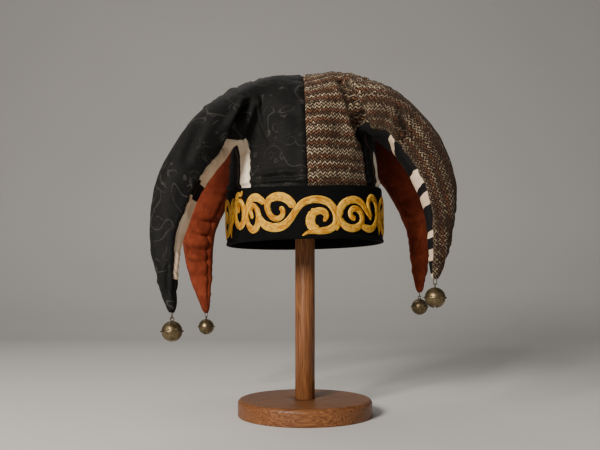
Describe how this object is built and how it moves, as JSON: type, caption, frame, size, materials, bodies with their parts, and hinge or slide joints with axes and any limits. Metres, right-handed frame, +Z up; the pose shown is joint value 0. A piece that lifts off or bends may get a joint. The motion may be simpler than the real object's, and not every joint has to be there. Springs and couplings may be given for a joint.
{
  "type": "jester hat on a display stand",
  "caption": "Jester hat with drooping lobes and brass bells, black damask, brown tweed, striped and rust panels, gold scroll on a black velvet band, on a turned wooden stand",
  "frame": {"origin": "centre of the underside of the stand's round base, on the surface that it stands on", "axes": "+Z up, the front of the hat with its centre seam faces -Y, +X to the right of someone looking at the front"},
  "size_m": [0.3169, 0.2844, 0.374],
  "materials": {
    "stand_wood": "satin red-brown hardwood",
    "band_velvet": "black velvet",
    "scroll_gold": "raised gold satin-stitch embroidery",
    "black_damask": "black figured damask",
    "brown_tweed": "brown herringbone wool tweed",
    "striped_cotton": "cream cotton with broad black stripes",
    "rust_velvet": "rust velveteen",
    "bell_brass": "antique dark brass",
    "pellet_steel": "plain steel shot",
    "tie_thread": "waxed dark thread"
  },
  "bodies": {
    "root": {"display_base": "stand_wood", "display_post": "stand_wood", "headband": "band_velvet", "scroll_embroidery": "scroll_gold", "front_left_panel": "black_damask", "front_right_panel": "brown_tweed", "left_side_panel": "striped_cotton", "right_side_panel": "striped_cotton", "left_rear_side_panel": "rust_velvet", "rear_left_panel": "rust_velvet", "rear_right_panel": "rust_velvet", "right_rear_side_panel": "rust_velvet", "bell_front_left": "bell_brass", "bell_front_right": "bell_brass", "bell_rear_left": "bell_brass", "bell_rear_right": "bell_brass", "bell_pellet_front_left": "pellet_steel", "bell_pellet_front_right": "pellet_steel", "bell_pellet_rear_left": "pellet_steel", "bell_pellet_rear_right": "pellet_steel", "bell_tie_front_left": "tie_thread", "bell_tie_front_right": "tie_thread", "bell_tie_rear_left": "tie_thread", "bell_tie_rear_right": "tie_thread"}
  },
  "joints": []
}
